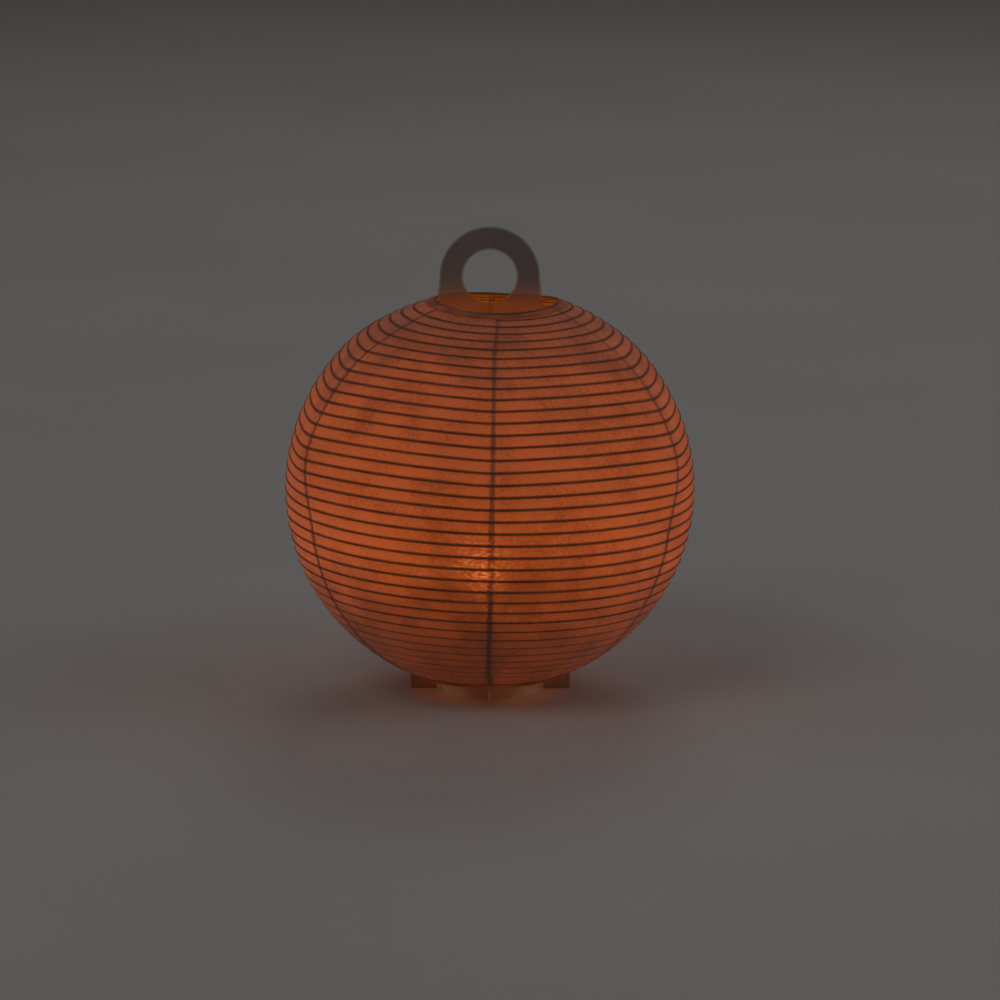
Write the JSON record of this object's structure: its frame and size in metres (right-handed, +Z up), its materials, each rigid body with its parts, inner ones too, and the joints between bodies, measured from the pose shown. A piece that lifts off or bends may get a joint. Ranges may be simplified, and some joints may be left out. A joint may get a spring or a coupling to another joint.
{
  "type": "paper lantern",
  "caption": "Round washi moon lantern on a spiral rib, held open by crossed clear plates with a ring handle, over a battery tea light.",
  "frame": {"origin": "on the table, under the centre of the paper body", "axes": "+Z up along the lantern's axis, -Y towards the front where the handle plate faces, +X to the right"},
  "size_m": [0.16, 0.16, 0.1838],
  "materials": {
    "washi": "matte",
    "rib_wire": "matte",
    "thread": "matte",
    "clear_sheet": "satin",
    "ivory_plastic": "satin",
    "flame_plastic": "satin",
    "lamp_resin": "gloss",
    "nickel": "satin",
    "contact_brass": "satin",
    "dark_plastic": "satin"
  },
  "bodies": {
    "tea_light": {"candle_cup": "ivory_plastic", "candle_base": "ivory_plastic", "flame_cap": "flame_plastic", "lamp": "lamp_resin", "lamp_leads": "nickel", "coin_cell": "nickel", "minus_contact": "nickel", "plus_contact": "contact_brass"},
    "battery_door": {"battery_door": "ivory_plastic"},
    "switch": {"switch_knob": "dark_plastic"},
    "lantern": {"handle_plate": "clear_sheet", "cross_plate": "clear_sheet", "top_hoop": "rib_wire", "top_tape": "washi", "washi_gore_1": "washi", "washi_gore_2": "washi", "washi_gore_3": "washi", "washi_gore_4": "washi", "washi_gore_5": "washi", "washi_gore_6": "washi", "spiral_rib": "rib_wire", "spacing_threads": "thread"},
    "bottom_end": {"bottom_hoop": "rib_wire", "bottom_tape": "washi"}
  },
  "joints": [
    {"name": "lantern_lift", "type": "slide", "parent": "tea_light", "child": "lantern", "axis": [0, 0, 1], "range_m": [0, 0.06]},
    {"name": "body_collapse", "type": "slide", "parent": "lantern", "child": "bottom_end", "axis": [0, 0, 1], "range_m": [0, 0.105], "deforming": ["washi_gore_1", "washi_gore_2", "washi_gore_3", "washi_gore_4", "washi_gore_5", "washi_gore_6", "spiral_rib", "spacing_threads"]},
    {"name": "door_turn", "type": "hinge", "parent": "tea_light", "child": "battery_door", "pos_m": [0, 0, 0.001], "axis": [0, 0, 1], "range_deg": [0, 60]},
    {"name": "switch_slide", "type": "slide", "parent": "tea_light", "child": "switch", "axis": [1, 0, 0], "range_m": [0, 0.0025]}
  ]
}
